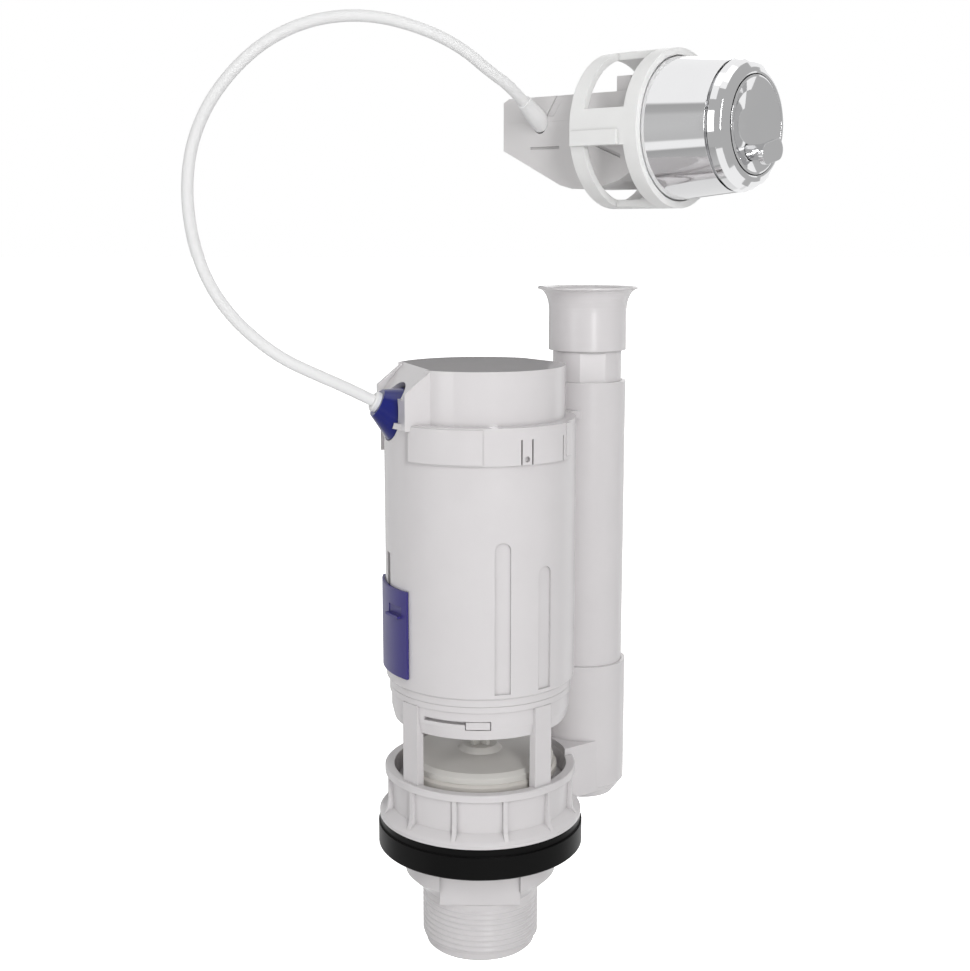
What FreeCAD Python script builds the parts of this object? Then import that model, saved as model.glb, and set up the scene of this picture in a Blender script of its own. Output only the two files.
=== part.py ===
import FreeCAD, Part
import math
import os
import Sketcher
from FreeCAD import Placement, Rotation, Vector

# Dual flush valve, in millimetres. The origin is the middle of the face that the seat
# washer presses on, +Z is up and the valve's axis is Z.
SIZES = {
    # threaded tail and the neck above it
    "tail_radius": 23.5,
    "tail_length": 43.8,
    "tail_bore": 20.4,
    "lead_radius": 22.4,
    "lead_length": 3.9,
    "tail_bevel": 0.9,
    "neck_radius": 31.0,
    "neck_drop": 11.8,
    "neck_flare": 6.0,
    "key_half": 16.1,
    "key_face": 24.6,
    "key_drop": 18.3,
    "base_wall": 2.4,
    # seat washer
    "washer_radius": 41.9,
    "washer_thick": 12.6,
    "washer_step": 0.7,
    "washer_band": 3.2,
    "washer_gap": 0.1,
    "washer_edge": 0.5,
    "washer_room": 0.4,
    # flange and cup
    "flange_radius": 41.4,
    "flange_thick": 2.4,
    "cup_radius": 36.6,
    "rim_radius": 39.0,
    "rim_top": 33.5,
    "rim_thick": 2.8,
    "rim_land": 1.0,
    "floor_top": 26.5,
    "seat_top": 31.2,
    "seat_radius": 28.4,
    "seat_land": 1.9,
    "throat_radius": 25.2,
    "rib_thick": 1.8,
    "rib_foot": 0.7,
    # pillars and the ring that takes the tower
    "pillar_width": 8.6,
    "pillar_thick": 3.3,
    "pillar_radius": 37.0,
    "pillar_top": 66.0,
    "ring_bottom": 54.8,
    "ring_top": 68.3,
    "ring_radius": 36.0,
    "ring_bore": 33.4,
    "ring_taper": 4.7,
    "ring_bevel": 1.1,
    "bead_radius": 36.7,
    "bead_height": 2.4,
    "slit_height": 1.3,
    "slit_level": 61.0,
    "latch_width": 10.0,
    "latch_height": 3.5,
    "latch_gap": 0.3,
    # overflow pipe, its socket and duct
    "tube_gap": 0.7,
    "tube_radius": 16.0,
    "tube_wall": 1.6,
    "tube_top": 187.3,
    "tube_foot": 44.0,
    "socket_wall": 1.5,
    "socket_gap": 0.1,
    "socket_top": 68.5,
    "socket_bottom": 9.8,
    "duct_width": 33.0,
    "duct_top": 36.4,
    "duct_inset": 8.0,
    "duct_tail": 3.0,
    # telescopic funnel
    "funnel_rim_radius": 20.5,
    "funnel_radius": 15.9,
    "funnel_neck": 14.1,
    "funnel_wall": 1.5,
    "neck_wall": 2.1,
    "neck_flat": 13.1,
    "funnel_top": 225.5,
    "funnel_flare": 9.8,
    "funnel_lip": 0.8,
    "funnel_shoulder": 199.9,
    "funnel_foot": 150.0,
    # tower casing
    "body_radius": 37.9,
    "body_wall": 2.2,
    "body_bottom": 71.3,
    "body_edge": 0.8,
    "body_top": 174.0,
    "skirt_gap": 0.2,
    "skirt_wall": 2.0,
    "skirt_bottom": 57.5,
    "chamber_floor": 2.0,
    "groove_width": 6.2,
    "groove_depth": 1.0,
    "groove_bottom": 73.5,
    "long_groove_top": 132.7,
    "short_groove_top": 122.0,
    "slot_width": 4.2,
    "slot_bottom": 82.0,
    "slot_top": 124.0,
    # blue slider and its half flush float
    "slider_bottom": 76.4,
    "slider_top": 111.3,
    "slider_thick": 1.1,
    "slider_gap": 0.3,
    "slider_arc": 49.8,
    "lip_level": 100.3,
    "lip_thick": 1.0,
    "lip_reach": 1.4,
    "lip_half": 4.8,
    "lip_hollow": 3.4,
    "shelf_thick": 1.5,
    "shelf_reach": 4.0,
    "foot_gap": 0.4,
    "stem_thick": 3.4,
    "stem_bottom": 89.5,
    "stem_height": 10.0,
    "half_float_radius": 10.0,
    "half_float_room": 4.8,
    "half_float_bottom": 84.0,
    "half_float_height": 26.0,
    "full_float_radius": 12.0,
    "full_float_room": 3.4,
    "full_float_bottom": 92.0,
    "full_float_height": 46.0,
    "float_wall": 1.2,
    "post_radius": 3.0,
    # spindle with its plate, washer and nut
    "lift_travel": 14.0,
    "spindle_radius": 4.6,
    "spindle_rib": 2.0,
    "spindle_gap": 0.5,
    "spindle_head": 6.5,
    "knob_thick": 3.0,
    "knob_clear": 0.5,
    "plate_radius": 30.0,
    "plate_thick": 3.8,
    "plate_hub": 9.0,
    "disc_radius": 31.3,
    "disc_thick": 3.3,
    "disc_hole": 7.0,
    "nut_radius": 15.0,
    "nut_thick": 3.0,
    # head
    "collar_wall": 1.5,
    "collar_bottom": 162.1,
    "collar_top": 176.3,
    "collar_gap": 0.2,
    "cap_radius": 33.5,
    "cap_top": 196.6,
    "cap_wall": 2.2,
    "cap_flat": 31.0,
    "cheek_half": 20.4,
    "cheek_reach": 36.6,
    "cheek_start": 26.0,
    "cheek_drop": 8.6,
    "cheek_wall": 2.4,
    "channel_depth": 2.6,
    "band_rise": 0.5,
    "lug_drop": 1.5,
    "tongue_drop": 4.6,
    "clip_wall": 2.0,
    "clip_gap": 0.2,
    "clip_thick": 3.2,
    "clip_reach": 41.4,
    "flange_left": 37.9,
    "front_near": 15.5,
    "front_far": 18.9,
    "lug_half": 2.4,
    "tongue_half": 2.0,
    "tongue_slit": 0.6,
    "tongue_hole": 1.1,
    # gland and cable
    "mouth_reach": 41.7,
    "mouth_level": 183.0,
    "gland_mouth": 5.6,
    "gland_radius": 11.2,
    "gland_length": 10.0,
    "gland_foot": 2.6,
    "gland_spigot": 6.6,
    "gland_gap": 0.3,
    "pocket_reach": 12.0,
    "ferrule_radius": 4.0,
    "ferrule_length": 8.0,
    "stop_radius": 3.8,
    "stop_neck": 2.9,
    "stop_length": 15.0,
    "stop_sink": 2.0,
    "ferrule_stand": 2.0,
    "wire_hole": 1.0,
    "cable_radius": 2.3,
    "cable_gap": 0.05,
    # pulley in the head
    "pulley_radius": 8.0,
    "pulley_groove": 1.2,
    "pulley_thick": 4.0,
    "pulley_level": 178.0,
    "pin_radius": 1.5,
    "pin_gap": 0.1,
    "bracket_thick": 2.2,
    "bracket_width": 9.0,
    # push button
    "sleeve_front": 25.0,
    "sleeve_back": 28.0,
    "sleeve_length": 30.5,
    "sleeve_wall": 1.5,
    "bezel_gap": 0.9,
    "bezel_radius": 25.0,
    "bezel_bore": 18.9,
    "bezel_height": 7.0,
    "bezel_spigot": 5.0,
    "dish_radius": 18.5,
    "dish_rim": 7.1,
    "dish_depth": 5.0,
    "dish_skin": 1.6,
    "dish_skirt": 6.6,
    "pill_level": -10.2,
    "pill_length": 15.5,
    "pill_height": 8.0,
    "pill_thick": 1.9,
    "pill_front": 14.1,
    "pill_stem": 6.0,
    "rod_radius": 1.8,
    "rod_level": 8.0,
    "rod_side": 6.0,
    "rod_gap": 0.3,
    "pad_gap": 0.5,
    "pad_drop": 0.2,
    "pad_low": 1.0,
    "rod_end": 35.8,
    "web_place": 14.4,
    "web_thick": 2.0,
    "guide_thick": 3.5,
    "guide_gap": 0.1,
    "spring_radius": 3.2,
    "spring_wire": 0.4,
    # cage
    "cage_wall": 2.7,
    "cage_gap": 0.1,
    "cage_ring": 6.4,
    "cage_length": 31.6,
    "strut_width": 14.0,
    "rib_rise": 1.2,
    "rib_stop": 2.0,
    # actuator box and its levers
    "box_length": 75.6,
    "box_half": 14.0,
    "box_top": 14.6,
    "box_split": 4.6,
    "box_heel": 6.5,
    "box_keel": 22.7,
    "box_wall": 1.8,
    "keel_front": 57.0,
    "keel_back": 70.0,
    "keel_rise": 6.0,
    "knee": 46.3,
    "lever_pivot": 43.4,
    "lever_drop": 3.0,
    "lever_arm": 25.1,
    "lever_thick": 3.0,
    "lever_width": 8.0,
    "axle_radius": 1.5,
    "axle_gap": 0.1,
    "entry_back": 19.4,
    "mark_deep": 0.7,
    "tab_length": 6.5,
    "tab_height": 6.0,
    "tab_thick": 2.4,
}

# bearings seen from above, in degrees from +X
HEAD_BEARING = -161.0
SLIDER_BEARING = -161.0
TUBE_BEARING = 35.9
RIB_COUNT = 12
RIB_BEARING = -75.0
PILLAR_COUNT = 4
PILLAR_BEARING = -48.0
LONG_GROOVE_BEARING = -76.6
SHORT_GROOVE_BEARING = -48.7
LATCH_BEARING = -91.1
SLIT_ARC = 36.0
GLAND_RISE = 27.0
LIP_BEARING = 13.0
STEM_TURN = 45.0
NECK_FLAT_BEARING = -84.0
ENTRY_TILT = 56.0
# bearings of the collar's details from the cable's side
BAND_START = 28.6
BAND_ARC = 44.1
TONGUE_BEARING = 97.7
LUG_BEARING = 130.2
LUG_SLIT_BEARING = 124.2
OPEN_START = 132.5
OPEN_ARC = 128.5
BUTTON_BEARING = -40.5
BUTTON_PLACE = Vector(99.7, 0.9, 287.6)


class Length:
    """A size as a number and as the expression that the sheet works out."""

    def __init__(self, value, text):
        self.value = value
        self.text = text

    def join(self, sign, other, value):
        return Length(value, "(%s %s %s)" % (self.text, sign, length(other).text))

    def __add__(self, other):
        return self.join("+", other, self.value + length(other).value)

    def __sub__(self, other):
        return self.join("-", other, self.value - length(other).value)

    def __mul__(self, other):
        return self.join("*", other, self.value * length(other).value)

    def __truediv__(self, other):
        return self.join("/", other, self.value / length(other).value)

    def __radd__(self, other):
        return length(other) + self

    def __rsub__(self, other):
        return length(other) - self

    def __rmul__(self, other):
        return length(other) * self

    def __neg__(self):
        return length(0) - self


def length(size):
    return size if isinstance(size, Length) else Length(float(size), "%.6f" % size)


class Sheet:
    """The driving sizes, each a Length read by its name."""


doc = FreeCAD.newDocument("flush_valve")
cells = doc.addObject("Spreadsheet::Sheet", "Sizes")
s = Sheet()
for row, (name, value) in enumerate(SIZES.items(), start=1):
    cells.set("A%d" % row, name)
    cells.set("B%d" % row, repr(value))
    cells.setAlias("B%d" % row, name)
    setattr(s, name, Length(value, "Sizes." + name))
doc.recompute()

PARTS = []


def bind(thing, prop, size):
    """Ties a property to the sheet."""
    thing.setExpression(prop, length(size).text)


def place(thing, x=0, y=0, z=0, turn=None):
    """Moves a thing to a place that follows the sheet, turned by a Rotation."""
    spot = [length(v) for v in (x, y, z)]
    thing.Placement = Placement(Vector(*[v.value for v in spot]), turn or Rotation())
    for axis, size in zip("xyz", spot):
        bind(thing, ".Placement.Base." + axis, size)
    return thing


def rod(name, radius, bottom, top, x=0, y=0, arc=None):
    """An upright cylinder, or a sector of one."""
    thing = doc.addObject("Part::Cylinder", name)
    bind(thing, "Radius", radius)
    bind(thing, "Height", length(top) - bottom)
    if arc is not None:
        bind(thing, "Angle", arc)
    return place(thing, x, y, bottom)


def rod_along(name, radius, start, end, across=0, level=0):
    """A cylinder along local X, from start to end."""
    thing = doc.addObject("Part::Cylinder", name)
    bind(thing, "Radius", radius)
    bind(thing, "Height", length(end) - start)
    return place(thing, start, across, level, Rotation(Vector(0, 1, 0), 90))


def rod_across(name, radius, low, high, x=0, z=0):
    """A cylinder along local Y, from low to high."""
    thing = doc.addObject("Part::Cylinder", name)
    bind(thing, "Radius", radius)
    bind(thing, "Height", length(high) - low)
    return place(thing, x, high, z, Rotation(Vector(1, 0, 0), 90))


def slab(name, x0, x1, y0, y1, z0, z1):
    """A box between two corners."""
    thing = doc.addObject("Part::Box", name)
    bind(thing, "Length", length(x1) - x0)
    bind(thing, "Width", length(y1) - y0)
    bind(thing, "Height", length(z1) - z0)
    return place(thing, x0, y0, z0)


def carried(name, thing, frame):
    """A thing that keeps its own place, carried into a frame."""
    group = doc.addObject("Part::Compound", name)
    group.Links = [thing]
    group.Placement = frame
    return group


def swung(name, thing, bearing):
    """A thing carried round Z to a bearing."""
    return carried(name, thing, Placement(Vector(), Rotation(Vector(0, 0, 1), bearing)))


def turned(thing, bearing):
    """The same, named after the thing."""
    return swung(thing.Name + "_turned", thing, bearing)


def join(name, things):
    """One solid of several."""
    fuse = doc.addObject("Part::MultiFuse", name)
    fuse.Shapes = things
    fuse.Refine = False
    return fuse


def cut(name, base, tools):
    """A thing with the tools taken away."""
    tool = tools[0] if len(tools) == 1 else join(name + "_tools", tools)
    result = doc.addObject("Part::Cut", name)
    result.Base = base
    result.Tool = tool
    result.Refine = False
    return result


def common(name, first, second):
    """What two things share."""
    result = doc.addObject("Part::Common", name)
    result.Base = first
    result.Tool = second
    return result


def outline(body, name, role, corners):
    """A closed sketch on one of the body's origin planes, each corner tied to the sheet."""
    sketch = body.newObject("Sketcher::SketchObject", name)
    plane = next(f for f in body.Origin.OriginFeatures if f.Role == role)
    sketch.AttachmentSupport = [(plane, "")]
    sketch.MapMode = "FlatFace"
    corners = [(length(a), length(b)) for a, b in corners]
    points = [Vector(a.value, b.value, 0) for a, b in corners]
    for start, end in zip(points, points[1:] + points[:1]):
        sketch.addGeometry(Part.LineSegment(start, end), False)
    last = len(points) - 1
    for index in range(len(points)):
        following = 0 if index == last else index + 1
        sketch.addConstraint(Sketcher.Constraint("Coincident", index, 2, following, 1))
    for index, corner in enumerate(corners):
        for kind, size in zip(("DistanceX", "DistanceY"), corner):
            number = sketch.addConstraint(
                Sketcher.Constraint(kind, -1, 1, index, 1, size.value)
            )
            sketch.setExpression("Constraints[%d]" % number, size.text)
    return sketch


def spun(name, corners, axis="V_Axis"):
    """A solid of revolution: about Z from (radius, height), or about X from (place, radius)."""
    body = doc.addObject("PartDesign::Body", name)
    sketch = outline(body, name + "_profile", "XZ_Plane", corners)
    spin = body.newObject("PartDesign::Revolution", name + "_spin")
    spin.Profile = sketch
    spin.ReferenceAxis = (sketch, [axis])
    spin.Angle = 360.0
    sketch.Visibility = False
    return body


def prism(name, corners, width, role="XZ_Plane"):
    """A flat outline with a thickness, half of it each side of its plane."""
    body = doc.addObject("PartDesign::Body", name)
    sketch = outline(body, name + "_profile", role, corners)
    pad = body.newObject("PartDesign::Pad", name + "_pad")
    pad.Profile = sketch
    bind(pad, "Length", width)
    pad.Midplane = True
    return body


def ring_of(name, thing, count, first):
    """Like copies of a thing, evenly round Z."""
    return [swung("%s_%d" % (name, index + 1), thing, first + index * 360.0 / count)
            for index in range(count)]


def keep(thing, node, frame=None):
    """Makes a thing one of the part's nodes, carried into its frame."""
    if frame is not None:
        thing = carried(node + "_placed", thing, frame)
    thing.Label = node
    PARTS.append(thing)
    return thing


# Outlet base: tail, neck, flange, cup and valve seat, turned in one
cone_drop = s.neck_radius - s.tail_radius
chamber = s.cup_radius - s.base_wall
shell = spun("base_shell", [
    (s.tail_bore, -s.tail_length),
    (s.tail_bore, length(0)),
    (s.neck_radius - s.base_wall, s.neck_flare),
    (s.neck_radius - s.base_wall, s.washer_thick + s.base_wall / 2),
    (chamber - 1, s.washer_thick + s.flange_thick),
    (chamber, s.washer_thick + s.flange_thick + 1),
    (chamber, s.floor_top - s.base_wall),
    (s.throat_radius, s.floor_top - s.base_wall),
    (s.throat_radius, s.seat_top),
    (s.throat_radius + s.seat_land, s.seat_top),
    (s.seat_radius, s.floor_top),
    (chamber, s.floor_top),
    (chamber + s.rim_land, s.rim_top),
    (s.rim_radius - s.rim_land / 2, s.rim_top),
    (s.rim_radius, s.rim_top - s.rim_land / 2),
    (s.rim_radius, s.rim_top - s.rim_thick),
    (s.cup_radius + s.rim_land / 2, s.rim_top - s.rim_thick),
    (s.cup_radius, s.washer_thick + 2 * s.flange_thick),
    (s.flange_radius - 1, s.washer_thick + s.flange_thick),
    (s.flange_radius, s.washer_thick + s.flange_thick - 1),
    (s.flange_radius, s.washer_thick),
    (s.neck_radius, s.washer_thick),
    (s.neck_radius, -s.neck_drop),
    (s.tail_radius, -s.neck_drop - cone_drop),
    (s.tail_radius, -s.tail_length + s.lead_length),
    (s.lead_radius, -s.tail_length + s.lead_length),
    (s.lead_radius, -s.tail_length + s.tail_bevel),
    (s.lead_radius - s.tail_bevel, -s.tail_length),
])
# flared ribs between the rim and the flange
flange_top = s.washer_thick + s.flange_thick
rib = prism("rib", [
    (chamber + s.base_wall / 2, flange_top - 1),
    (s.flange_radius - s.rib_foot, flange_top - 0.5),
    (s.rim_radius, flange_top + 2.5),
    (s.rim_radius - 0.5, flange_top + 6),
    (s.rim_radius - 0.5, s.rim_top - s.rim_thick + 0.5),
    (chamber + s.base_wall / 2, s.rim_top - s.rim_thick + 0.5),
], s.rib_thick)
ribs = ring_of("rib_copy", rib, RIB_COUNT, RIB_BEARING)
# pillars that carry the ring
pillar_in = s.pillar_radius - s.pillar_thick
pillar = slab("pillar", pillar_in, s.pillar_radius, -s.pillar_width / 2, s.pillar_width / 2,
              s.rim_top - 1.5, s.pillar_top)
pillars = ring_of("pillar_copy", pillar, PILLAR_COUNT, PILLAR_BEARING)
tower_ring = spun("tower_ring", [
    (s.ring_bore, s.ring_bottom),
    (s.ring_radius - s.ring_bevel, s.ring_bottom),
    (s.ring_radius, s.ring_bottom + s.ring_taper),
    (s.ring_radius, s.ring_top - s.bead_height),
    (s.bead_radius, s.ring_top - s.bead_height),
    (s.bead_radius, s.ring_top),
    (s.ring_bore, s.ring_top),
])
# duct and socket of the overflow pipe
tube_offset = s.body_radius + s.tube_gap + s.tube_radius
duct_start = s.cup_radius - s.duct_inset
duct_end = tube_offset + s.duct_tail
duct = slab("duct", duct_start, duct_end, -s.duct_width / 2, s.duct_width / 2,
            flange_top - s.flange_thick / 2, s.duct_top)
duct_half = s.duct_width / 2 - s.base_wall
duct_low = flange_top + s.base_wall
duct_bores = [slab("duct_bore", duct_start, tube_offset, -duct_half, duct_half,
                   duct_low, s.floor_top - s.base_wall),
              slab("duct_rise", s.rim_radius + s.base_wall, tube_offset, -duct_half, duct_half,
                   duct_low, s.duct_top - s.base_wall)]
socket_bore = s.tube_radius + s.socket_gap
socket = spun("socket", [
    (0, s.socket_bottom),
    (socket_bore - 3, s.socket_bottom),
    (socket_bore + s.socket_wall, s.socket_bottom + 6),
    (socket_bore + s.socket_wall, s.socket_top),
    (0, s.socket_top),
])
socket_hole = spun("socket_hole", [
    (0, s.socket_bottom + s.base_wall),
    (socket_bore - 4, s.socket_bottom + s.base_wall),
    (s.tube_radius - s.tube_wall, s.socket_bottom + 8),
    (s.tube_radius - s.tube_wall, s.tube_foot),
    (socket_bore, s.tube_foot),
    (socket_bore, s.socket_top),
    (0, s.socket_top),
])
for thing in (socket, socket_hole):
    place(thing, tube_offset)
duct_outer = cut("duct_outer", join("duct_whole", [duct, socket]), [
    rod("chamber_clear", chamber + s.base_wall / 2, s.washer_thick, s.socket_top),
    rod("washer_clear", s.washer_radius + s.washer_room, s.socket_bottom - 1, s.washer_thick)])
duct_arm = swung("duct_arm", duct_outer, TUBE_BEARING)
duct_hollow = swung("duct_hollow", join("duct_inner", duct_bores + [socket_hole]), TUBE_BEARING)
key_block = slab("key_block", -s.key_half, s.key_half, -s.key_face, s.key_face,
                 -s.key_drop, length(0))
key_blank = cut("key_blank", key_block, [rod("key_bore", s.tail_bore, -s.key_drop - 1, length(1))])
base_solid = join("base_solid", [shell, key_blank] + ribs + pillars + [tower_ring, duct_arm])
# two flats for the key on the neck, the bayonet slit and its latch window
keys = [slab("key_front", -s.key_half, s.key_half, -s.neck_radius - 1, -s.key_face,
             -s.key_drop, length(0)),
        slab("key_back", -s.key_half, s.key_half, s.key_face, s.neck_radius + 1,
             -s.key_drop, length(0))]
slit_top = s.slit_level + s.slit_height
slit_cut = cut("slit", rod("slit_disc", s.ring_radius + 2, s.slit_level,
                       s.slit_level + s.slit_height, arc=SLIT_ARC),
           [rod("slit_core", s.ring_bore - 1, s.slit_level - 1, s.slit_level + s.slit_height + 1)])
slit = turned(slit_cut, LATCH_BEARING - SLIT_ARC)
window = turned(slab("latch_window", s.ring_bore - 1, s.ring_radius + 2,
                     -s.latch_width / 2, s.latch_width / 2,
                     slit_top - s.latch_height, slit_top), LATCH_BEARING)
ring_clear = rod("ring_clear", s.ring_bore, s.ring_bottom - 1, s.ring_top + 1)
base = cut("base", base_solid, [duct_hollow, slit, window, ring_clear] + keys)
keep(base, "outlet_base")

# Seat washer with its stepped upper band
keep(spun("washer", [
    (s.neck_radius + s.washer_gap, 0),
    (s.washer_radius - s.washer_edge, 0),
    (s.washer_radius, s.washer_edge),
    (s.washer_radius, s.washer_thick - s.washer_band),
    (s.washer_radius - s.washer_step, s.washer_thick - s.washer_band),
    (s.washer_radius - s.washer_step, s.washer_thick),
    (s.neck_radius + s.washer_gap, s.washer_thick),
]), "seat_washer")

# Overflow pipe: a plain tube, and the funnel that telescopes in it
tube_bore = s.tube_radius - s.tube_wall
tube = spun("tube", [
    (tube_bore, s.tube_foot),
    (s.tube_radius, s.tube_foot),
    (s.tube_radius, s.tube_top),
    (tube_bore, s.tube_top),
])
funnel_bore = s.funnel_neck - s.neck_wall
FLARE_STEPS = 8
flare_out = s.funnel_rim_radius - s.funnel_radius
flare = []
for step in range(FLARE_STEPS + 1):
    angle = math.pi / 2 * step / FLARE_STEPS
    flare.append((flare_out * (1 - math.cos(angle)),
                  s.funnel_top - s.funnel_flare + (s.funnel_flare - s.funnel_lip) * math.sin(angle)))
funnel_whole = spun("funnel", [
    (funnel_bore, s.funnel_foot),
    (s.funnel_neck, s.funnel_foot),
    (s.funnel_neck, s.funnel_shoulder),
    (s.funnel_radius, s.funnel_shoulder),
] + [(s.funnel_radius + out, level) for out, level in flare] + [
    (s.funnel_rim_radius, s.funnel_top),
] + [(s.funnel_radius - s.funnel_wall + out, level + s.funnel_lip)
     for out, level in reversed(flare)] + [
    (s.funnel_radius - s.funnel_wall, s.funnel_shoulder + s.funnel_wall),
    (funnel_bore, s.funnel_shoulder),
])
neck_flat = turned(slab("neck_flat", s.neck_flat, s.funnel_neck + 1, -s.funnel_neck,
                        s.funnel_neck, s.funnel_foot - 1,
                        s.funnel_shoulder - s.funnel_lip), NECK_FLAT_BEARING - TUBE_BEARING)
funnel = cut("funnel_cut", funnel_whole, [neck_flat])
place(tube, tube_offset)
keep(swung("tube_place", tube, TUBE_BEARING), "overflow_tube")
tube_x = tube_offset.value * math.cos(math.radians(TUBE_BEARING))
tube_y = tube_offset.value * math.sin(math.radians(TUBE_BEARING))
keep(swung("funnel_turn", funnel, TUBE_BEARING), "overflow_funnel",
     Placement(Vector(tube_x, tube_y, 0), Rotation()))

# Gland's frame: local Z is its axis, out of the mouth, and local zero is the mouth
head_frame = Placement(Vector(), Rotation(Vector(0, 0, 1), HEAD_BEARING))
gland_frame = head_frame * Placement(
    Vector(s.mouth_reach.value, 0, s.mouth_level.value), Rotation(Vector(0, 1, 0), 90 - GLAND_RISE)
)
gland_depth = s.gland_length + s.gland_foot


def gland_space(name):
    """Room for the gland, in its own frame."""
    pocket = rod(name, s.gland_radius + s.gland_gap, -gland_depth, s.pocket_reach)
    hole = rod(name + "_hole", s.gland_spigot + s.gland_gap, -gland_depth - 9, -gland_depth + 1)
    room = join(name + "_room", [pocket, hole])
    room.Placement = gland_frame
    return room


# Tower casing: open skirt that drops in the ring, chamber floor and wall
skirt_radius = s.ring_bore - s.skirt_gap
casing = spun("casing", [
    (s.spindle_radius + s.spindle_gap, s.skirt_bottom),
    (skirt_radius, s.skirt_bottom),
    (skirt_radius, s.ring_top + s.latch_gap / 3),
    (s.bead_radius, s.ring_top + s.latch_gap / 3),
    (s.bead_radius, s.body_bottom),
    (s.body_radius - s.body_edge, s.body_bottom),
    (s.body_radius, s.body_bottom + s.body_edge),
    (s.body_radius, s.body_top),
    (s.body_radius - s.body_wall, s.body_top),
    (s.body_radius - s.body_wall, s.body_bottom + s.body_wall),
    (skirt_radius - s.skirt_wall, s.body_bottom + s.body_wall),
    (skirt_radius - s.skirt_wall, s.skirt_bottom + s.chamber_floor),
    (s.spindle_radius + s.spindle_gap, s.skirt_bottom + s.chamber_floor),
])


def guide_groove(name, bearing, top):
    """A round-topped groove pressed in the casing's wall."""
    floor_at = s.body_radius - s.groove_depth
    trough = slab(name, floor_at, s.body_radius + 2, -s.groove_width / 2, s.groove_width / 2,
                  s.groove_bottom, top - s.groove_width / 2)
    crown = rod_along(name + "_crown", s.groove_width / 2, floor_at, s.body_radius + 2,
                      0, top - s.groove_width / 2)
    return turned(join(name + "_cut", [trough, crown]), bearing)


grooves = [guide_groove("long_groove", LONG_GROOVE_BEARING, s.long_groove_top),
           guide_groove("short_groove", SHORT_GROOVE_BEARING, s.short_groove_top)]
slider_slot = turned(slab("slider_slot", s.body_radius - 4, s.body_radius + 2,
                          -s.slot_width / 2, s.slot_width / 2, s.slot_bottom, s.slot_top),
                     SLIDER_BEARING)
lug = turned(slab("latch_lug", skirt_radius - 1, s.ring_radius - s.latch_gap,
                  -s.latch_width / 2 + s.latch_gap, s.latch_width / 2 - s.latch_gap,
                  slit_top - s.latch_height + s.latch_gap, slit_top - s.latch_gap),
             LATCH_BEARING)
# post inside the casing that the full flush float stands on
wall_in = s.body_radius - s.body_wall
half_float_offset = wall_in - s.slider_gap - s.half_float_room - s.half_float_radius
full_float_offset = wall_in - s.slider_gap - s.full_float_room - s.full_float_radius
post = turned(rod("float_post", s.post_radius, s.skirt_bottom + 1,
                  s.full_float_bottom + s.full_float_height - s.float_wall - s.slider_gap,
                  full_float_offset), SLIDER_BEARING + 180)
tower = cut("tower", join("casing_lug", [casing, lug, post]),
            grooves + [slider_slot, gland_space("casing_pocket")])
keep(tower, "tower_housing")

# Blue slider on the casing: a curved plate with a finger lip, and a stem through the slot
plate_in = s.body_radius + s.slider_gap
plate_out = plate_in + s.slider_thick
slider_plate = cut("slider_plate",
                   rod("plate_outer", plate_out, s.slider_bottom, s.slider_top,
                       arc=s.slider_arc),
                   [rod("plate_inner", plate_in, s.slider_bottom - 1, s.slider_top + 1)])
slider_plate = turned(slider_plate, -SIZES["slider_arc"] / 2)
lip = turned(slab("lip", plate_in + s.slider_thick / 2, plate_out + s.lip_reach, -s.lip_half,
                  s.lip_half, s.lip_level, s.lip_level + s.lip_thick), LIP_BEARING)
hollow = turned(slab("lip_hollow", plate_in + s.slider_thick / 2, plate_out + 1, -s.lip_half,
                     s.lip_half, s.lip_level + s.lip_thick,
                     s.lip_level + s.lip_thick + s.lip_hollow), LIP_BEARING)
stem_out = plate_in + s.slider_thick / 2
stem_in = wall_in - s.slider_gap
foot_in = stem_in - s.shelf_thick - s.foot_gap
stem = slab("slider_stem", foot_in, stem_out, -s.stem_thick / 2,
            s.stem_thick / 2, s.stem_bottom, s.stem_bottom + s.stem_height)
shelf_top = s.half_float_bottom - s.slider_gap
foot = slab("slider_foot", foot_in, foot_in + s.shelf_thick, -s.stem_thick,
            s.stem_thick, shelf_top - s.shelf_thick, s.stem_bottom + s.stem_height)
shelf = slab("slider_shelf", half_float_offset - s.shelf_reach, foot_in + s.shelf_thick,
             -s.stem_thick, s.stem_thick, shelf_top - s.shelf_thick, shelf_top)
slider = cut("slider", join("slider_solid", [slider_plate, lip, stem, foot, shelf]), [hollow])
keep(turned(slider, SLIDER_BEARING), "flush_adjuster")


# Floats: cups with a closed top, open below
def float_cup(name, radius, bottom, height, offset, bearing):
    """A float hung beside the spindle."""
    cup = spun(name + "_cup", [
        (radius - s.float_wall, bottom),
        (radius, bottom),
        (radius, bottom + height - 1),
        (radius - 1, bottom + height),
        (0, bottom + height),
        (0, bottom + height - s.float_wall),
        (radius - s.float_wall, bottom + height - s.float_wall),
    ])
    place(cup, offset)
    return keep(swung(name + "_place", cup, bearing), name)


float_cup("half_float", s.half_float_radius, s.half_float_bottom, s.half_float_height,
          half_float_offset, SLIDER_BEARING)
float_cup("full_float", s.full_float_radius, s.full_float_bottom, s.full_float_height,
          full_float_offset, SLIDER_BEARING + 180)

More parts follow.
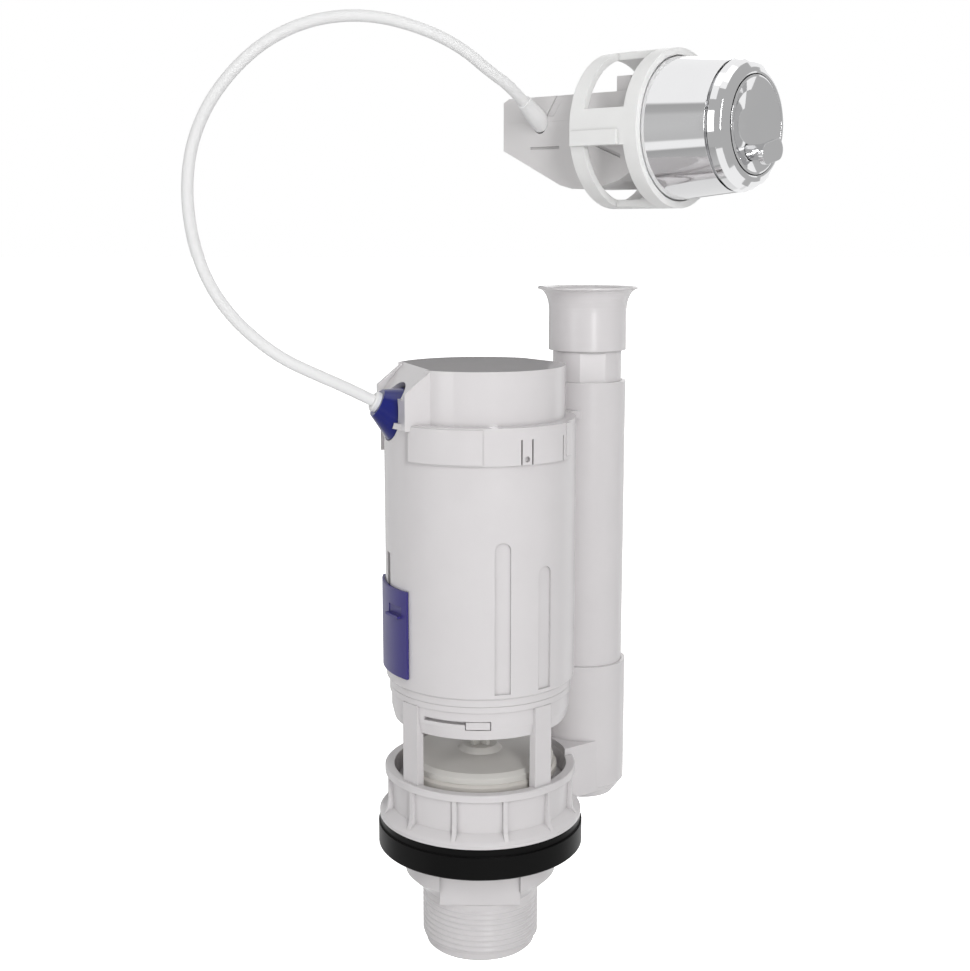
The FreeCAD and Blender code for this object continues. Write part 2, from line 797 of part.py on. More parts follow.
# Spindle: cross-ribbed stem, plate with its hub, and the spigot that holds the washer
plate_bottom = s.seat_top + s.disc_thick
plate_top = plate_bottom + s.plate_thick
plate = spun("valve_plate", [
    (0, s.seat_top - s.nut_thick),
    (s.disc_hole - 0.1, s.seat_top - s.nut_thick),
    (s.disc_hole - 0.1, plate_bottom),
    (s.plate_radius, plate_bottom),
    (s.plate_radius, plate_bottom + s.plate_thick * 0.6),
    (s.plate_radius - 2.2, plate_top),
    (s.plate_hub, plate_top + 0.8),
    (s.plate_hub - 2, plate_top + 3),
    (0, plate_top + 3),
])
spindle_top = (s.pulley_level - s.pulley_radius - s.knob_clear - s.lift_travel
               - s.knob_thick)
stem_x = slab("spindle_x", -s.spindle_radius, s.spindle_radius, -s.spindle_rib / 2,
              s.spindle_rib / 2, plate_top, spindle_top)
stem_y = slab("spindle_y", -s.spindle_rib / 2, s.spindle_rib / 2, -s.spindle_radius,
              s.spindle_radius, plate_top, spindle_top)
stem_cross = turned(join("spindle_cross", [stem_x, stem_y]), STEM_TURN)
knob = rod("spindle_knob", s.spindle_head, spindle_top, spindle_top + s.knob_thick)
keep(join("spindle", [plate, stem_cross, knob]), "valve_spindle")
keep(spun("disc", [
    (s.disc_hole, s.seat_top),
    (s.disc_radius, s.seat_top),
    (s.disc_radius, s.seat_top + s.disc_thick * 0.7),
    (s.disc_radius - 1, plate_bottom),
    (s.disc_hole, plate_bottom),
]), "disc_washer")
keep(spun("nut", [
    (s.disc_hole, s.seat_top - s.nut_thick),
    (s.nut_radius - 0.8, s.seat_top - s.nut_thick),
    (s.nut_radius, s.seat_top - s.nut_thick + 0.8),
    (s.nut_radius, s.seat_top),
    (s.disc_hole, s.seat_top),
]), "disc_retainer")

# Head, drawn with +X towards the cable: cap, cheeks, collar, cable channel and pipe clip
cap_under = s.cap_top - s.cap_wall
cap = rod("cap", s.cap_radius, s.body_top, s.cap_top)
cheeks = prism("cheeks", [
    (0, s.body_top),
    (s.cheek_reach, s.body_top),
    (s.cheek_reach, s.cap_top - s.cheek_drop),
    (s.cheek_start, s.cap_top),
    (0, s.cap_top),
], s.cheek_half * 2)
collar_out = s.body_radius + s.collar_gap + s.collar_wall
collar = rod("collar", collar_out, s.collar_bottom, s.collar_top)
band = turned(rod("collar_band", collar_out + s.band_rise, s.collar_bottom + s.band_rise,
                  s.collar_top - s.band_rise, arc=BAND_ARC), BAND_START)
end_lug = turned(slab("end_lug", s.cap_radius, collar_out + s.band_rise, -s.lug_half,
                      s.lug_half, s.collar_bottom + s.lug_drop, s.collar_top), LUG_BEARING)
collar_slits = [turned(slab("slit_%d" % index, s.body_radius, collar_out + 1, low,
                            low + s.tongue_slit, s.collar_bottom - 1,
                            s.collar_top - s.tongue_drop), bearing)
                for index, (low, bearing) in enumerate((
                    (-s.tongue_half - s.tongue_slit, TONGUE_BEARING),
                    (s.tongue_half, TONGUE_BEARING),
                    (-s.tongue_slit / 2, LUG_SLIT_BEARING)))]
tongue_hole = turned(rod_along("tongue_hole", s.tongue_hole, s.body_radius, collar_out + 1, 0,
                               s.collar_bottom + 2 * s.tongue_hole), TONGUE_BEARING)
front_gap = slab("front_gap", s.cap_radius - s.cap_wall, collar_out + 2, -s.front_near,
                 s.front_far, s.collar_bottom - 1, s.body_top)
open_side = turned(cut("open_side", rod("open_disc", collar_out + 2, s.collar_bottom - 1,
                                        s.collar_top + 1, arc=OPEN_ARC),
                       [rod("open_core", s.flange_left, s.collar_bottom - 2,
                            s.collar_top + 2)]), OPEN_START)
collar_whole = cut("collar_whole", join("collar_solid", [collar, band, end_lug]),
                   collar_slits + [tongue_hole, front_gap, open_side])
tube_way = TUBE_BEARING - HEAD_BEARING
clip_out = s.tube_radius + s.clip_gap + s.clip_wall
clip = turned(common("clip", rod("clip_ring", clip_out, s.collar_top - s.clip_thick,
                                 s.collar_top, tube_offset),
                     slab("clip_reach_box", s.cap_radius, s.clip_reach, -clip_out, clip_out,
                          s.collar_bottom, s.collar_top)), tube_way)
head_solid = join("head_solid", [cap, cheeks, collar_whole, clip])
bore = rod("collar_bore", s.body_radius + s.collar_gap, s.collar_bottom - 1, s.body_top)
hollow_cap = rod("cap_hollow", s.cap_radius - s.cap_wall, s.body_top - 1, cap_under)
channel_half = s.cheek_half - s.cheek_wall
channel = prism("channel", [
    (s.cheek_start, s.cap_top + 1),
    (s.cheek_start, s.cap_top),
    (s.cheek_reach - s.channel_depth / 2, s.cap_top - s.cheek_drop - s.channel_depth),
    (s.cheek_reach + 8, s.cap_top - s.cheek_drop - s.channel_depth),
    (s.cheek_reach + 8, s.cap_top + 1),
], channel_half * 2)
tube_flat = turned(slab("tube_flat", s.cap_flat, s.cap_radius + 1, -s.cap_radius, s.cap_radius,
                        s.collar_top, s.cap_top + 1), tube_way)
tube_room = turned(rod("tube_room", s.tube_radius + s.clip_gap, s.collar_bottom - 1,
                       s.cap_top, tube_offset), tube_way)
shell_head = cut("head_shell", head_solid,
                 [bore, hollow_cap, channel, tube_flat, tube_room])
# the channel's floor, the wall behind the flat, and two ears that carry the pulley
channel_low = s.cap_top - s.cheek_drop - s.channel_depth
channel_floor = prism("channel_floor", [
    (s.cheek_start - s.cap_wall, s.cap_top),
    (s.cheek_start, s.cap_top),
    (s.cheek_reach - s.channel_depth / 2, channel_low),
    (s.cheek_reach, channel_low),
    (s.cheek_reach, channel_low - s.cap_wall),
    (s.cheek_start - s.cap_wall, s.cap_top - 2 * s.cap_wall),
], channel_half * 2 + s.cap_wall)
flat_wall = common("flat_wall", turned(slab("flat_slab", s.cap_flat - s.cap_wall, s.cap_flat,
                                            -s.cap_radius, s.cap_radius,
                                            s.body_top, s.cap_top), tube_way),
                   rod("flat_round", s.cap_radius - 0.5, s.body_top, s.cap_top))
ear_in = s.pulley_thick / 2 + 0.5
ear_low = s.pulley_level - s.bracket_width / 2
ears = [slab("ear_%d" % index, s.pulley_radius - s.bracket_width / 2,
             s.pulley_radius + s.bracket_width / 2, low, high, ear_low, s.cap_top - 1)
        for index, (low, high) in enumerate((
            (ear_in, ear_in + s.bracket_thick), (-ear_in - s.bracket_thick, -ear_in)))]
ear_out = ear_in + s.bracket_thick
pin_hole = rod_across("pin_hole", s.pin_radius, -ear_out - 1, ear_out + 1,
                      s.pulley_radius, s.pulley_level)
pocket = gland_space("head_pocket")
pocket.Placement = head_frame.inverse() * gland_frame
head = cut("head", join("head_walls", [shell_head, channel_floor, flat_wall] + ears),
           [pin_hole, pocket])
keep(head, "head_cap", head_frame)

# Pulley that turns the cable's pull into a lift, on a steel pin
pulley = spun("pulley_wheel", [
    (s.pin_radius + s.pin_gap, -s.pulley_thick / 2),
    (s.pulley_radius, -s.pulley_thick / 2),
    (s.pulley_radius - s.pulley_groove, length(0)),
    (s.pulley_radius, s.pulley_thick / 2),
    (s.pin_radius + s.pin_gap, s.pulley_thick / 2),
])
pulley_frame = head_frame * Placement(
    Vector(s.pulley_radius.value, 0, s.pulley_level.value), Rotation(Vector(1, 0, 0), 90)
)
keep(pulley, "cable_pulley", pulley_frame)
pin = rod_across("pulley_pin_rod", s.pin_radius, -ear_out, ear_out,
                 s.pulley_radius, s.pulley_level)
keep(pin, "pulley_pin", head_frame)

# Blue gland: cone, foot flange and hollow spigot; the sheath's white end sits in its mouth
ferrule_seat = s.ferrule_length - s.ferrule_stand
keep(spun("gland", [
    (s.cable_radius, -gland_depth - 8),
    (s.gland_spigot, -gland_depth - 8),
    (s.gland_spigot, -gland_depth),
    (s.gland_radius - 1.6, -gland_depth),
    (s.gland_radius, -s.gland_length),
    (s.gland_mouth, length(0)),
    (s.ferrule_radius, length(0)),
    (s.ferrule_radius, -ferrule_seat),
    (s.cable_radius, -ferrule_seat),
]), "cable_gland", gland_frame)
ferrule_profile = [
    (s.wire_hole, length(0)),
    (s.ferrule_radius, length(0)),
    (s.ferrule_radius, s.ferrule_length - 0.6),
    (s.ferrule_radius - 0.6, s.ferrule_length),
    (s.wire_hole, s.ferrule_length),
]
keep(spun("ferrule_tower", ferrule_profile), "tower_ferrule",
     gland_frame * Placement(Vector(0, 0, -ferrule_seat.value), Rotation()))

# Push button, drawn along local X from the plane where the bezel meets the sleeve
button_frame = Placement(BUTTON_PLACE, Rotation(Vector(0, 0, 1), BUTTON_BEARING))
sleeve_in = s.sleeve_back - s.sleeve_wall
front_in = s.sleeve_front - s.sleeve_wall
keep(spun("sleeve", [
    (-s.sleeve_length, sleeve_in),
    (-s.sleeve_length, s.sleeve_back),
    (-s.bezel_gap, s.sleeve_front),
    (-s.bezel_gap, front_in),
], "H_Axis"), "chrome_sleeve", button_frame)
dome = s.bezel_radius - s.bezel_bore
spigot_out = front_in - s.guide_gap - 0.3
keep(spun("bezel", [
    (-s.bezel_spigot, s.bezel_bore),
    (-s.bezel_spigot, spigot_out),
    (0, spigot_out),
    (0, s.bezel_radius - 0.4),
    (0.4, s.bezel_radius),
    (s.bezel_height * 0.42, s.bezel_radius - 0.6),
    (s.bezel_height * 0.72, s.bezel_radius - dome * 0.3),
    (s.bezel_height * 0.92, s.bezel_radius - dome * 0.62),
    (s.bezel_height, s.bezel_bore + 0.7),
    (s.bezel_height - 0.4, s.bezel_bore),
], "H_Axis"), "chrome_bezel", button_frame)

# Large button: concave dish with a skirt, a round hole for the small one and its push rod
dish = spun("dish", [
    (s.dish_rim - s.dish_depth, length(0)),
    (s.dish_rim - s.dish_depth * 0.88, s.dish_radius * 0.35),
    (s.dish_rim - s.dish_depth * 0.5, s.dish_radius * 0.7),
    (s.dish_rim, s.dish_radius - 0.8),
    (s.dish_rim - 0.3, s.dish_radius),
    (s.dish_rim - s.dish_skirt, s.dish_radius),
    (s.dish_rim - s.dish_skirt, s.dish_radius - s.dish_skin),
    (s.dish_rim - s.dish_depth - s.dish_skin, s.dish_radius - s.dish_skin),
    (s.dish_rim - s.dish_depth - s.dish_skin, length(0)),
], "H_Axis")
dish_back = s.dish_rim - s.dish_depth - s.dish_skin
full_rod = rod_along("full_rod", s.rod_radius, -s.rod_end, dish_back + 0.5,
                     -s.rod_side, s.rod_level)
stem_half = s.pill_stem / 2
stem_room = rod_along("stem_room", stem_half + s.rod_gap, dish_back - 2, s.dish_rim + 2,
                      0, s.pill_level)
keep(cut("large_button", join("dish_rod", [dish, full_rod]), [stem_room]),
     "full_button", button_frame)

# Small button: oval pad on a stem, a web behind the dish and its push rod
pill_straight = (s.pill_length - s.pill_height) / 2
pill_back = s.pill_front - s.pill_thick
pill = join("pill", [
    rod_along("pill_near", s.pill_height / 2, pill_back, s.pill_front, -pill_straight),
    rod_along("pill_far", s.pill_height / 2, pill_back, s.pill_front, pill_straight),
    slab("pill_bar", pill_back, s.pill_front, -pill_straight, pill_straight,
         -s.pill_height / 2, s.pill_height / 2)])
pill_turn = Rotation(Vector(1, 0, 0), 14)
pill.Placement = Placement(Vector(0, 0, s.pill_level.value), pill_turn)
web_front = -s.web_place + s.web_thick
small_parts = [
    pill,
    rod_along("pill_stem_rod", stem_half, web_front - 0.5, pill_back + 0.5, 0, s.pill_level),
    slab("half_web", -s.web_place, web_front, -stem_half / 2, s.rod_side + s.rod_radius,
         s.pill_level - stem_half, s.rod_level + s.rod_radius),
    rod_along("half_rod", s.rod_radius, -s.rod_end, -s.web_place + 0.5, s.rod_side, s.rod_level),
]
keep(join("small_button", small_parts), "half_button", button_frame)

# Guide plate that closes the sleeve's back and steers both rods
guide_front = -s.sleeve_length + s.guide_thick
sleeve_taper = (s.sleeve_back - s.sleeve_front) * s.guide_thick / s.sleeve_length
guide_plate = rod_along("guide_plate", sleeve_in - s.guide_gap - sleeve_taper,
                        -s.sleeve_length, guide_front)
rod_bore = s.rod_radius + s.rod_gap / 3
guide_holes = [rod_along("guide_hole_%d" % index, rod_bore, -s.sleeve_length - 1,
                         guide_front + 4, side, s.rod_level)
               for index, side in enumerate((-s.rod_side, s.rod_side))]
keep(cut("guide", guide_plate, guide_holes), "button_guide", button_frame)


# Return springs, each a wire coil round its rod
def coil(node, start, end, side, turns):
    """A compression spring along local X."""
    low = start.value
    pitch = (end.value - low) / turns
    wire = s.spring_wire.value
    path = Part.makeHelix(pitch, pitch * turns, s.spring_radius.value - wire)
    ring = Part.Wire([Part.makeCircle(wire, Vector(s.spring_radius.value - wire, 0, 0),
                                      Vector(0, 1, 0))])
    thing = doc.addObject("Part::Feature", node + "_coil")
    thing.Shape = Part.Wire(path.Edges).makePipeShell([ring], True, True)
    thing.Placement = Placement(Vector(low, side.value, s.rod_level.value),
                                Rotation(Vector(0, 1, 0), 90))
    keep(thing, node, button_frame)


spring_end = 2 * s.spring_wire
coil("full_spring", guide_front + spring_end, dish_back - spring_end, -s.rod_side, 7)
coil("half_spring", guide_front + spring_end, -s.web_place - spring_end, s.rod_side, 4)

# Milky cage behind the sleeve: two rings and four struts
cage_in = s.sleeve_back + s.cage_gap
cage_out = cage_in + s.cage_wall
cage_front = -s.sleeve_length + s.cage_ring / 2
cage_back = cage_front - s.cage_length
cage_parts = [
    rod_along("cage_ring_front", cage_out, cage_front - s.cage_ring, cage_front),
    rod_along("cage_ring_back", cage_out, cage_back, cage_back + s.cage_ring),
]
cage_struts = [
    common("struts_%d" % index,
           rod_along("strut_round_%d" % index, cage_out, cage_back + 1, cage_front - 1),
           slab("strut_bar_%d" % index, cage_back + 1, cage_front - 1, -y, y, -z, z))
    for index, (y, z) in enumerate(((s.strut_width / 2, cage_out), (cage_out, s.strut_width / 2)))
]
cage_rib = slab("cage_rib", cage_back + 1, cage_front - s.cage_ring - s.rib_stop,
                -cage_out - s.rib_rise, -cage_in - 1, -s.strut_width / 2, -s.rib_rise)
cage = cut("cage", join("cage_solid", cage_parts + cage_struts + [cage_rib]),
           [rod_along("cage_bore", cage_in, cage_back - 1, cage_front + 1)])
keep(cage, "fixing_cage", button_frame)

# Actuator box behind the guide plate: two shells that meet at the parting line
box_front = -s.sleeve_length - s.cage_gap
box_back = box_front - s.box_length
KEEL_SHARE = 0.5


def box_profile(name, inset, low, high, width):
    """The box's side outline between two levels."""
    side = prism(name, [
        (box_back + inset, s.box_top - inset - 1.5),
        (box_back + inset + 3, s.box_top - inset),
        (box_front - inset, s.box_top - inset),
        (box_front - inset, -s.box_keel + inset + 2 * s.keel_rise),
        (-s.knee, -s.box_keel + inset + s.keel_rise * KEEL_SHARE),
        (-s.keel_front, -s.box_keel + inset),
        (-s.keel_back, -s.box_keel + inset),
        (-s.keel_back - s.keel_rise, -s.box_keel + inset + s.keel_rise * KEEL_SHARE / 2),
        (box_back + inset, -s.box_heel + inset),
    ], width)
    band = slab(name + "_band", box_back - 1, box_front + 1, -s.box_half, s.box_half, low, high)
    return common(name + "_part", side, band)


entry = s.box_length + s.sleeve_length - s.entry_back
entry_frame = Placement(Vector(-entry.value, -s.box_half.value, s.box_split.value),
                        Rotation(Vector(1, 0, 0), ENTRY_TILT))
entry_hole = carried("entry_hole_placed", rod("entry_hole", s.stop_radius + s.axle_gap,
                                              -s.stop_length / 2, s.stop_length / 2),
                     entry_frame)
inner_half = s.box_half - s.box_wall
axle_hole = rod_across("axle_hole", s.axle_radius, -s.box_half + 0.8, s.box_half - 0.8,
                       -s.lever_pivot, -s.lever_drop)
front_holes = [rod_along("front_hole_%d" % index, rod_bore, box_front - s.box_wall - 1,
                         box_front + 1, side, s.rod_level)
               for index, side in enumerate((-s.rod_side, s.rod_side))]
mark = s.mark_deep * 2
tab_place = -s.knee - s.tab_length / 2
tab = slab("tab", tab_place, tab_place + s.tab_length, -inner_half, -inner_half + s.tab_thick,
           s.box_top - s.box_wall, s.box_top + s.tab_height)
marks = {
    "actuator_cover": [prism("lid_groove", [
        (-entry + 3, s.box_split + 2),
        (-entry + 9, s.box_top + 1),
        (-entry + 13, s.box_top + 1),
        (-entry + 7, s.box_split + 2),
    ], mark)],
    "actuator_base": [prism("snap_groove", [
        (-entry - 5, -s.box_heel),
        (-entry + 10, -s.box_heel),
        (-entry + 10, -s.box_heel + 1),
        (-entry - 5, -s.box_heel + 1),
    ], mark), prism("slant_groove", [
        (-s.knee - 14, -s.box_heel + 2),
        (-s.knee - 14, -s.box_heel + 1),
        (-s.knee, -s.box_heel - 4.5),
        (-s.knee, -s.box_heel - 3),
    ], mark)],
}
for things in marks.values():
    for thing in things:
        place(thing, 0, -s.box_half)
for node, low, high in (("actuator_cover", s.box_split, s.box_top + 1),
                        ("actuator_base", -s.box_keel - 1, s.box_split)):
    outer = box_profile(node + "_outer", length(0), low, high, s.box_half * 2)
    inner = box_profile(node + "_inner", s.box_wall, low - 1, high + 1, inner_half * 2)
    extra = front_holes if node == "actuator_cover" else [axle_hole]
    shell = cut(node + "_shell", outer, [inner, entry_hole] + extra + marks[node])
    if node == "actuator_cover":
        shell = join("cover_tab", [shell, tab])
    keep(shell, node, button_frame)

# Levers on one axle: a pad that a rod pushes, and an arm that draws the wire down
keep(rod_across("axle", s.axle_radius, -s.box_half + 0.8, s.box_half - 0.8,
                -s.lever_pivot, -s.lever_drop), "lever_axle", button_frame)
pad_face = -s.rod_end - s.pad_gap


def lever(node, side):
    """One lever, centred on its rod."""
    low = side - s.lever_width / 2
    high = side + s.lever_width / 2
    hub = rod_across(node + "_hub", s.axle_radius * 2, low, high, -s.lever_pivot, -s.lever_drop)
    post = prism(node + "_post", [
        (-s.lever_pivot - 1.5, -s.lever_drop),
        (-s.lever_pivot + 2.5, -s.lever_drop),
        (pad_face, s.rod_level - s.pad_low),
        (pad_face, s.rod_level + s.rod_radius - s.pad_drop),
        (pad_face - s.lever_thick, s.rod_level + s.rod_radius - s.pad_drop),
        (pad_face - s.lever_thick, s.rod_level - s.rod_radius - 1),
    ], s.lever_width)
    arm = prism(node + "_arm", [
        (-s.lever_pivot, -s.lever_drop - 1.5),
        (-s.lever_pivot, -s.lever_drop + 1.5),
        (-s.lever_pivot - s.lever_arm, s.box_split - 3),
        (-s.lever_pivot - s.lever_arm, s.box_split - 6),
    ], s.lever_width)
    for piece in (post, arm):
        place(piece, 0, side)
    bore = rod_across(node + "_bore", s.axle_radius + s.axle_gap, low - 1, high + 1,
                      -s.lever_pivot, -s.lever_drop)
    keep(cut(node + "_whole", join(node + "_solid", [hub, post, arm]), [bore]),
         node, button_frame)


lever("full_lever", -s.rod_side)
lever("half_lever", s.rod_side)

# White stop of the sheath in the box, and the sheath itself along its arched route
stop_frame = button_frame * entry_frame * Placement(Vector(0, 0, -s.stop_sink.value), Rotation())
keep(spun("button_stop", [
    (s.wire_hole, length(0)),
    (s.stop_radius, length(0)),
    (s.stop_radius, 3 * s.stop_sink),
    (s.stop_neck, s.stop_length - s.cable_gap),
    (s.cable_radius, s.stop_length),
    (s.wire_hole, s.stop_length),
]), "button_ferrule", stop_frame)
ROUTE = [
    (-51.2, -17.6, 189.4), (-61.7, -20.9, 194.4), (-73.8, -21.5, 200.1), (-84.4, -21.0, 207.7),
    (-94.1, -19.0, 216.8), (-102.0, -16.0, 227.7), (-107.4, -12.5, 240.0), (-110.5, -8.5, 253.0),
    (-111.5, -5.0, 266.1), (-110.1, -1.5, 279.3), (-106.1, 2.0, 291.6), (-99.6, 5.0, 302.6),
    (-91.2, 8.0, 312.5), (-80.9, 11.0, 321.0), (-67.8, 13.5, 327.3), (-53.7, 15.5, 330.2),
    (-39.5, 17.2, 329.9), (-26.4, 18.8, 326.9), (-14.8, 20.8, 322.7), (-5.1, 23.2, 317.3),
    (3.6, 27.0, 310.4), (12.2, 32.0, 305.0),
]
mouth_rise = s.ferrule_stand.value + s.cable_gap.value
mouth_end = (gland_frame * Placement(Vector(0, 0, mouth_rise), Rotation())).Base
stop_rise = s.stop_length.value + s.cable_gap.value
box_end = (stop_frame * Placement(Vector(0, 0, stop_rise), Rotation())).Base
points = [mouth_end] + [Vector(*point) for point in ROUTE] + [box_end]
EDGE_SHARE = 0.45
edges = []
radii = []
start = points[0]
for before, corner, after in zip(points, points[1:], points[2:]):
    into = corner - before
    out = after - corner
    reach = EDGE_SHARE * min(into.Length, out.Length)
    turn = into.getAngle(out)
    radii.append(reach / math.tan(turn / 2))
    begin = corner - into * (reach / into.Length)
    finish = corner + out * (reach / out.Length)
    middle = (begin + finish) / 2
    centre = corner + (middle - corner) * ((corner - begin).Length / (middle - corner).Length) ** 2
    bow = centre + (corner - centre) * (radii[-1] / (corner - centre).Length)
    edges.append(Part.LineSegment(start, begin).toShape())
    edges.append(Part.Arc(begin, bow, finish).toShape())
    start = finish
edges.append(Part.LineSegment(start, points[-1]).toShape())
path = Part.Wire(edges)
first_run = points[1] - points[0]
section = Part.Wire([Part.makeCircle(s.cable_radius.value, points[0], first_run)])
sheath = doc.addObject("Part::Feature", "sheath")
sheath.Shape = path.makePipeShell([section], True, False)
keep(sheath, "cable_sheath")

# Rebuild, prove every solid, then write one file for each node
doc.recompute()
for thing in doc.Objects:
    if "Invalid" in thing.State or "Error" in thing.State:
        raise RuntimeError("%s did not build: %s" % (thing.Name, thing.State))
for thing in PARTS:
    shape = thing.Shape
    if shape.isNull() or not shape.isValid() or not shape.Solids:
        raise RuntimeError("%s has no sound solid" % thing.Label)
os.makedirs("parts", exist_ok=True)
for thing in PARTS:
    thing.Shape.exportStep(os.path.join("parts", thing.Label + ".step"))
    box = thing.Shape.BoundBox
    print("%-18s solids %d volume %9.1f mm3  z %.1f to %.1f"
          % (thing.Label, len(thing.Shape.Solids), thing.Shape.Volume, box.ZMin, box.ZMax))
print("route points", [tuple(round(v, 2) for v in point) for point in points])
print("cable radii %s mm" % ", ".join("%.0f" % radius for radius in radii))
print("cable length %.1f mm, volume ratio %.4f" % (
    path.Length,
    sheath.Shape.Volume / (math.pi * s.cable_radius.value ** 2 * path.Length)))
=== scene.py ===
import bpy
import math
from mathutils import Matrix, Vector


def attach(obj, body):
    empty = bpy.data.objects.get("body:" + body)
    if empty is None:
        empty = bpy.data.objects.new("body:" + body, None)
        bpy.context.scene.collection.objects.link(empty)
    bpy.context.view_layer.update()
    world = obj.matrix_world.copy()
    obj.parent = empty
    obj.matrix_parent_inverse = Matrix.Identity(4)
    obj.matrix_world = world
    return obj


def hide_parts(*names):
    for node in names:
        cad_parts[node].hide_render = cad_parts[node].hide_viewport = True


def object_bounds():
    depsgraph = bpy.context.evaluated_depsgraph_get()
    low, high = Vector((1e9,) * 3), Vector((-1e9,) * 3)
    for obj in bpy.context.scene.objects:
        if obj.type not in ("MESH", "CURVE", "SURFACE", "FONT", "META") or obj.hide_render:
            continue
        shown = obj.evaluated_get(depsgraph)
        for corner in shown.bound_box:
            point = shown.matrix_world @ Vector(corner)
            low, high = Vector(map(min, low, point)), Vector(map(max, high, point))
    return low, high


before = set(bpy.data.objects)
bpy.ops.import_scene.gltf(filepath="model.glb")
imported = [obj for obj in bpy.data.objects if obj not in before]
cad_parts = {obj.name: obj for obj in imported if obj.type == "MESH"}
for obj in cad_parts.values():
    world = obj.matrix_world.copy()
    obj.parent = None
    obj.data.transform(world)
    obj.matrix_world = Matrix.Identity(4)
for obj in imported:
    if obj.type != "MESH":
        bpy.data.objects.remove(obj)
cad_low, cad_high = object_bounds()
MM = 0.001

# Outlet base, one moulding in light grey ABS with a satin to glossy skin: tail, flange, ribbed
# cup, seat, pillars and bayonet ring. Other grey mouldings of the valve share its plastic.


def linear(code):
    """An sRGB hex colour as linear light."""
    shares = [int(code[start:start + 2], 16) / 255 for start in (1, 3, 5)]
    return [c / 12.92 if c <= 0.04045 else ((c + 0.055) / 1.055) ** 2.4 for c in shares] + [1]


def new_material(name):
    """An empty node material."""
    material = bpy.data.materials.new(name)
    material.use_nodes = True
    material.node_tree.nodes.clear()
    return material


def add_node(owner, kind, inputs=None, **settings):
    """Adds a node, with its settings, and fills or links its inputs."""
    node = owner.node_tree.nodes.new(kind)
    for name, value in settings.items():
        setattr(node, name, value)
    for name, value in (inputs or {}).items():
        if isinstance(value, bpy.types.NodeSocket):
            owner.node_tree.links.new(value, node.inputs[name])
        else:
            node.inputs[name].default_value = value
    return node


CLOUD_SIZE = 14 * MM
GRAIN_SIZE = 0.35 * MM
GRAIN_DEPTH = 0.05 * MM
ROUGHNESS_SPREAD = 0.03
# Painted shade in creases and between parts: its reach, its darkest level, the occlusion where it
# is full and where it is none, and its samples
PAINTED_SHADE_REACH = 2.5 * MM
PAINTED_SHADE_DARKEST = 0.72
PAINTED_SHADE_FULL_AT = 0.25
PAINTED_SHADE_NONE_AT = 0.85
PAINTED_SHADE_SAMPLES = 8
EDGE_SAMPLES = 4


def moulded(name, colour, dark, roughness, bump=0.04, soften=0.3 * MM, **sockets):
    """Moulded plastic: faint clouds of colour, a fine grain, soft edges and painted shade that
    darkens its creases.
    """
    material = new_material(name)
    where = add_node(material, "ShaderNodeTexCoord").outputs["Object"]
    cloud = add_node(material, "ShaderNodeTexNoise",
                     {"Vector": where, "Scale": 1 / CLOUD_SIZE, "Detail": 3.0})
    tint = add_node(material, "ShaderNodeMix", {"Factor": cloud.outputs["Fac"],
                    "A": linear(colour), "B": linear(dark)}, data_type="RGBA")
    # Painted shade: ambient occlusion darkens the base colour in creases, recesses and between
    # parts, where shade falls
    painted_shade = add_node(material, "ShaderNodeAmbientOcclusion", {"Distance": PAINTED_SHADE_REACH},
                      samples=PAINTED_SHADE_SAMPLES, only_local=True)
    depth = add_node(material, "ShaderNodeMapRange", {"Value": painted_shade.outputs["AO"],
                     "From Min": PAINTED_SHADE_FULL_AT, "From Max": PAINTED_SHADE_NONE_AT, "To Min": PAINTED_SHADE_DARKEST})
    tint = add_node(material, "ShaderNodeHueSaturation", {"Color": tint.outputs["Result"],
                    "Value": depth.outputs["Result"]})
    wear = add_node(material, "ShaderNodeMapRange", {"Value": cloud.outputs["Fac"],
                    "To Min": roughness - ROUGHNESS_SPREAD,
                    "To Max": roughness + ROUGHNESS_SPREAD})
    skin = add_node(material, "ShaderNodeTexNoise",
                    {"Vector": where, "Scale": 1 / GRAIN_SIZE, "Detail": 2.0})
    edge = add_node(material, "ShaderNodeBevel", {"Radius": soften}, samples=EDGE_SAMPLES)
    relief = add_node(material, "ShaderNodeBump", {"Height": skin.outputs["Fac"],
                      "Strength": bump, "Distance": GRAIN_DEPTH, "Normal": edge.outputs["Normal"]})
    surface = add_node(material, "ShaderNodeBsdfPrincipled", {
        "Base Color": tint.outputs["Color"], "Roughness": wear.outputs["Result"],
        "Normal": relief.outputs["Normal"], **sockets})
    add_node(material, "ShaderNodeOutputMaterial", {"Surface": surface.outputs["BSDF"]})
    return material


def paint(material, *names):
    """Gives CAD nodes their finish."""
    for name in names:
        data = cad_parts[name].data
        data.materials.clear()
        data.materials.append(material)


# The base's finish: ABS with an IOR of 1.53 and a smooth moulded skin that shows soft, wide
# highlights. The tower, the overflow tube and the funnel have the same one.
grey_abs = moulded("grey_abs", "#DAD7D8", "#D5D2D3", 0.24, IOR=1.53)
paint(grey_abs, "outlet_base", "tower_housing", "overflow_tube", "overflow_funnel")

# Thread on the tail, G 1 1/2: one tooth's outline, run down the tail as a helix and closed at
# both ends. The tooth's foot and tip are shares of the pitch, to each side of its middle.
THREAD_PITCH = 2.309 * MM
THREAD_CREST = 23.9 * MM
THREAD_ROOT = 23.3 * MM
THREAD_TOP = -20.8 * MM
THREAD_TURNS = 8
THREAD_STEPS = 96
TOOTH_FOOT = 0.48
TOOTH_TIP = 0.12


def deselect():
    """Leaves nothing selected."""
    bpy.ops.object.select_all(action="DESELECT")


